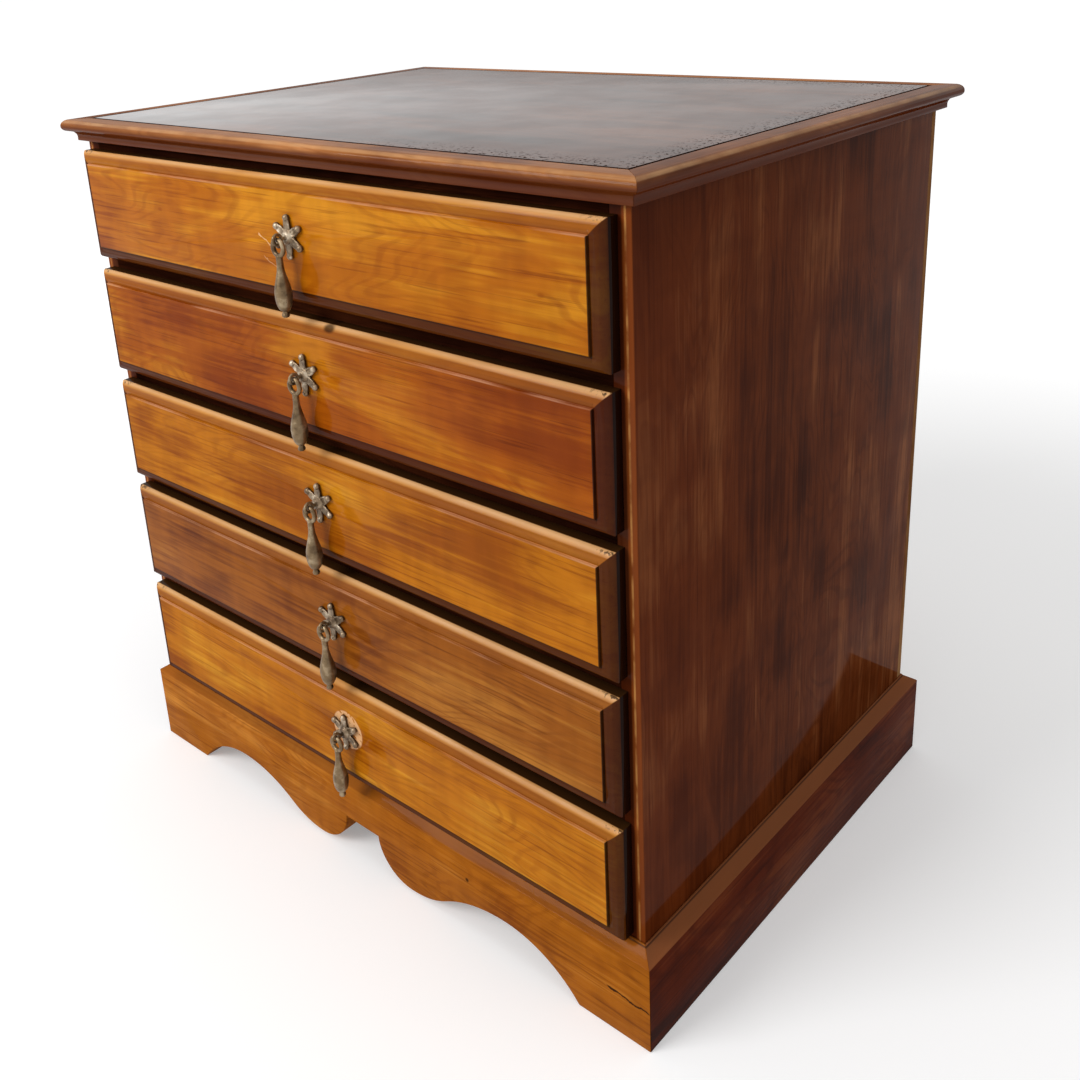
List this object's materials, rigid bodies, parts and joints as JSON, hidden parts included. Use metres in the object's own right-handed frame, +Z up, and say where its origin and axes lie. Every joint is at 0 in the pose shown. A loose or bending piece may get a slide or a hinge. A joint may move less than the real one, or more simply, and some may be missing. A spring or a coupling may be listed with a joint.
{
  "type": "collector cabinet",
  "caption": "Table-top collector cabinet: a wooden case on a shaped plinth, moulded top, shallow overlapping drawers and brass drop handles",
  "frame": {"origin": "on the floor, under the middle of the whole cabinet's box", "axes": "+X to the cabinet's right when seen from the front, +Y to its back, +Z up; drawers open along -Y"},
  "size_m": [0.469, 0.3534, 0.48],
  "materials": {
    "drawer_front_wood": "polished solid wood drawer fronts, honey amber, horizontal grain",
    "top_wood": "dark red-brown wood, hard gloss polish",
    "carcase_wood": "dark polished wood case, upright grain on the sides",
    "plinth_wood": "polished wood plinth, amber in front and darker at the side",
    "divider_wood": "stained wood boards between the drawers",
    "drawer_lining_wood": "plain unpolished wood of the drawer boxes",
    "inner_wood": "plain unpolished wood of the back board and glue blocks",
    "handle_brass": "aged cast brass, grey-olive patina, worn brighter on the high spots"
  },
  "bodies": {
    "case": {"case_side_left": "carcase_wood", "case_side_right": "carcase_wood", "case_back": "inner_wood", "top_panel": "top_wood", "plinth_glue_blocks": "inner_wood", "case_bottom": "carcase_wood", "divider_1": "divider_wood", "divider_2": "divider_wood", "divider_3": "divider_wood", "divider_4": "divider_wood", "case_top": "carcase_wood", "top_moulding_front": "top_wood", "top_moulding_right": "top_wood", "top_moulding_back": "top_wood", "top_moulding_left": "top_wood", "plinth_front": "plinth_wood", "plinth_right": "plinth_wood", "plinth_back": "plinth_wood", "plinth_left": "plinth_wood"},
    "drawer_1": {"drawer_1_front": "drawer_front_wood", "drawer_1_side_left": "drawer_lining_wood", "drawer_1_side_right": "drawer_lining_wood", "drawer_1_back": "drawer_lining_wood", "drawer_1_bottom": "drawer_lining_wood", "drawer_1_rosette": "handle_brass", "drawer_1_pin": "handle_brass"},
    "handle_1": {"drawer_1_drop": "handle_brass"},
    "drawer_2": {"drawer_2_front": "drawer_front_wood", "drawer_2_side_left": "drawer_lining_wood", "drawer_2_side_right": "drawer_lining_wood", "drawer_2_back": "drawer_lining_wood", "drawer_2_bottom": "drawer_lining_wood", "drawer_2_rosette": "handle_brass", "drawer_2_pin": "handle_brass"},
    "handle_2": {"drawer_2_drop": "handle_brass"},
    "drawer_3": {"drawer_3_front": "drawer_front_wood", "drawer_3_side_left": "drawer_lining_wood", "drawer_3_side_right": "drawer_lining_wood", "drawer_3_back": "drawer_lining_wood", "drawer_3_bottom": "drawer_lining_wood", "drawer_3_rosette": "handle_brass", "drawer_3_pin": "handle_brass"},
    "handle_3": {"drawer_3_drop": "handle_brass"},
    "drawer_4": {"drawer_4_front": "drawer_front_wood", "drawer_4_side_left": "drawer_lining_wood", "drawer_4_side_right": "drawer_lining_wood", "drawer_4_back": "drawer_lining_wood", "drawer_4_bottom": "drawer_lining_wood", "drawer_4_rosette": "handle_brass", "drawer_4_pin": "handle_brass"},
    "handle_4": {"drawer_4_drop": "handle_brass"},
    "drawer_5": {"drawer_5_front": "drawer_front_wood", "drawer_5_side_left": "drawer_lining_wood", "drawer_5_side_right": "drawer_lining_wood", "drawer_5_back": "drawer_lining_wood", "drawer_5_bottom": "drawer_lining_wood", "drawer_5_rosette": "handle_brass", "drawer_5_pin": "handle_brass"},
    "handle_5": {"drawer_5_drop": "handle_brass"}
  },
  "joints": [
    {"name": "drawer_1_slide", "type": "slide", "parent": "case", "child": "drawer_1", "axis": [0, -1, 0], "range_m": [0, 0.2]},
    {"name": "handle_1_swing", "type": "hinge", "parent": "drawer_1", "child": "handle_1", "pos_m": [0, -0.1717, 0.4284], "axis": [-1, 0, 0], "range_deg": [-4, 150]},
    {"name": "drawer_2_slide", "type": "slide", "parent": "case", "child": "drawer_2", "axis": [0, -1, 0], "range_m": [0, 0.2]},
    {"name": "handle_2_swing", "type": "hinge", "parent": "drawer_2", "child": "handle_2", "pos_m": [0, -0.1717, 0.3478], "axis": [-1, 0, 0], "range_deg": [-4, 150]},
    {"name": "drawer_3_slide", "type": "slide", "parent": "case", "child": "drawer_3", "axis": [0, -1, 0], "range_m": [0, 0.2]},
    {"name": "handle_3_swing", "type": "hinge", "parent": "drawer_3", "child": "handle_3", "pos_m": [0, -0.1717, 0.2672], "axis": [-1, 0, 0], "range_deg": [-4, 150]},
    {"name": "drawer_4_slide", "type": "slide", "parent": "case", "child": "drawer_4", "axis": [0, -1, 0], "range_m": [0, 0.2]},
    {"name": "handle_4_swing", "type": "hinge", "parent": "drawer_4", "child": "handle_4", "pos_m": [0, -0.1717, 0.1866], "axis": [-1, 0, 0], "range_deg": [-4, 150]},
    {"name": "drawer_5_slide", "type": "slide", "parent": "case", "child": "drawer_5", "axis": [0, -1, 0], "range_m": [0, 0.2]},
    {"name": "handle_5_swing", "type": "hinge", "parent": "drawer_5", "child": "handle_5", "pos_m": [0, -0.1717, 0.106], "axis": [-1, 0, 0], "range_deg": [-4, 150]}
  ]
}
